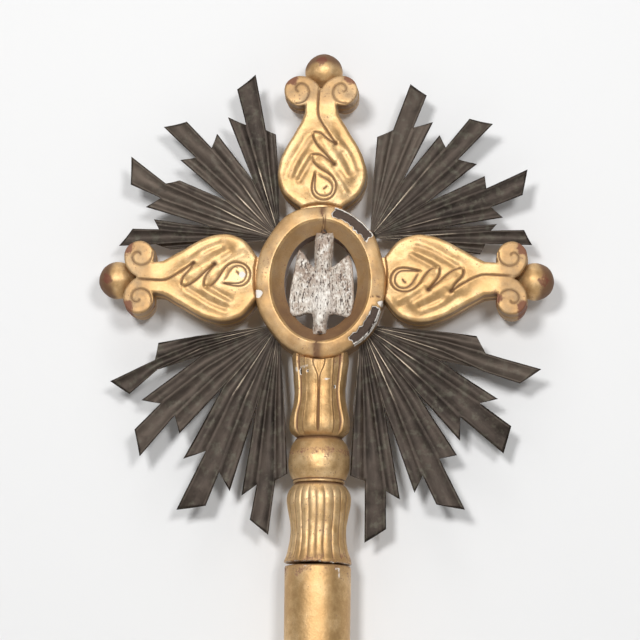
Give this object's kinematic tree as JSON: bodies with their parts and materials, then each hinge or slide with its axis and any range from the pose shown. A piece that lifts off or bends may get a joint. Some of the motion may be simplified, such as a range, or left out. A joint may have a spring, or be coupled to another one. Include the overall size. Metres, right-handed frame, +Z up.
{
  "type": "processional cross",
  "caption": "Gilded wooden processional cross on a long round staff, with a carved dove in an oval ring and fans of pleated tin rays. The head lifts off the staff.",
  "frame": {"origin": "centre of the flat underside of the staff's foot ferrule", "axes": "+Z up along the staff, -Y towards the front of the cross, +X to the right seen from the front"},
  "size_m": [0.3421, 0.05, 1.8391],
  "materials": {
    "gilded_wood": "burnished gold leaf over red bole and gesso, worn",
    "silvered_wood": "worn silver leaf over a pinkish ground",
    "tarnished_tin": "dark tarnished sheet metal with paler rubbed creases",
    "bare_wood": "bare turned softwood",
    "iron": "dark hand-made nail iron",
    "brass": "dull aged brass sheet"
  },
  "bodies": {
    "staff": {"ferrule_nail_left": "iron", "ferrule_nail_right": "iron", "foot_ferrule": "brass", "staff": "gilded_wood"},
    "head": {"arm_dowel_left": "bare_wood", "arm_dowel_right": "bare_wood", "arm_dowel_top": "bare_wood", "arm_left": "gilded_wood", "arm_right": "gilded_wood", "arm_top": "gilded_wood", "ball_finial_left": "gilded_wood", "ball_finial_right": "gilded_wood", "ball_finial_top": "gilded_wood", "core_dowel": "bare_wood", "dove": "silvered_wood", "dove_nail_head": "iron", "dove_nail_tail": "iron", "fan_brad_lower_left": "iron", "fan_brad_lower_right": "iron", "fan_brad_upper_left": "iron", "fan_brad_upper_right": "iron", "fan_plate_lower_left": "tarnished_tin", "fan_plate_lower_right": "tarnished_tin", "fan_plate_upper_left": "tarnished_tin", "fan_plate_upper_right": "tarnished_tin", "fluted_vase": "gilded_wood", "knop": "gilded_wood", "medallion_ring": "gilded_wood", "petal_calyx": "gilded_wood", "ray_lower_left_inner": "tarnished_tin", "ray_lower_left_near_arm": "tarnished_tin", "ray_lower_left_outer": "tarnished_tin", "ray_lower_left_upright": "tarnished_tin", "ray_lower_right_inner": "tarnished_tin", "ray_lower_right_near_arm": "tarnished_tin", "ray_lower_right_outer": "tarnished_tin", "ray_lower_right_upright": "tarnished_tin", "ray_upper_left_inner": "tarnished_tin", "ray_upper_left_near_arm": "tarnished_tin", "ray_upper_left_outer": "tarnished_tin", "ray_upper_left_upright": "tarnished_tin", "ray_upper_right_inner": "tarnished_tin", "ray_upper_right_near_arm": "tarnished_tin", "ray_upper_right_outer": "tarnished_tin", "ray_upper_right_upright": "tarnished_tin"}
  },
  "joints": [
    {"name": "head_lift", "type": "slide", "parent": "staff", "child": "head", "axis": [0, 0, 1], "range_m": [0, 0.09]}
  ]
}
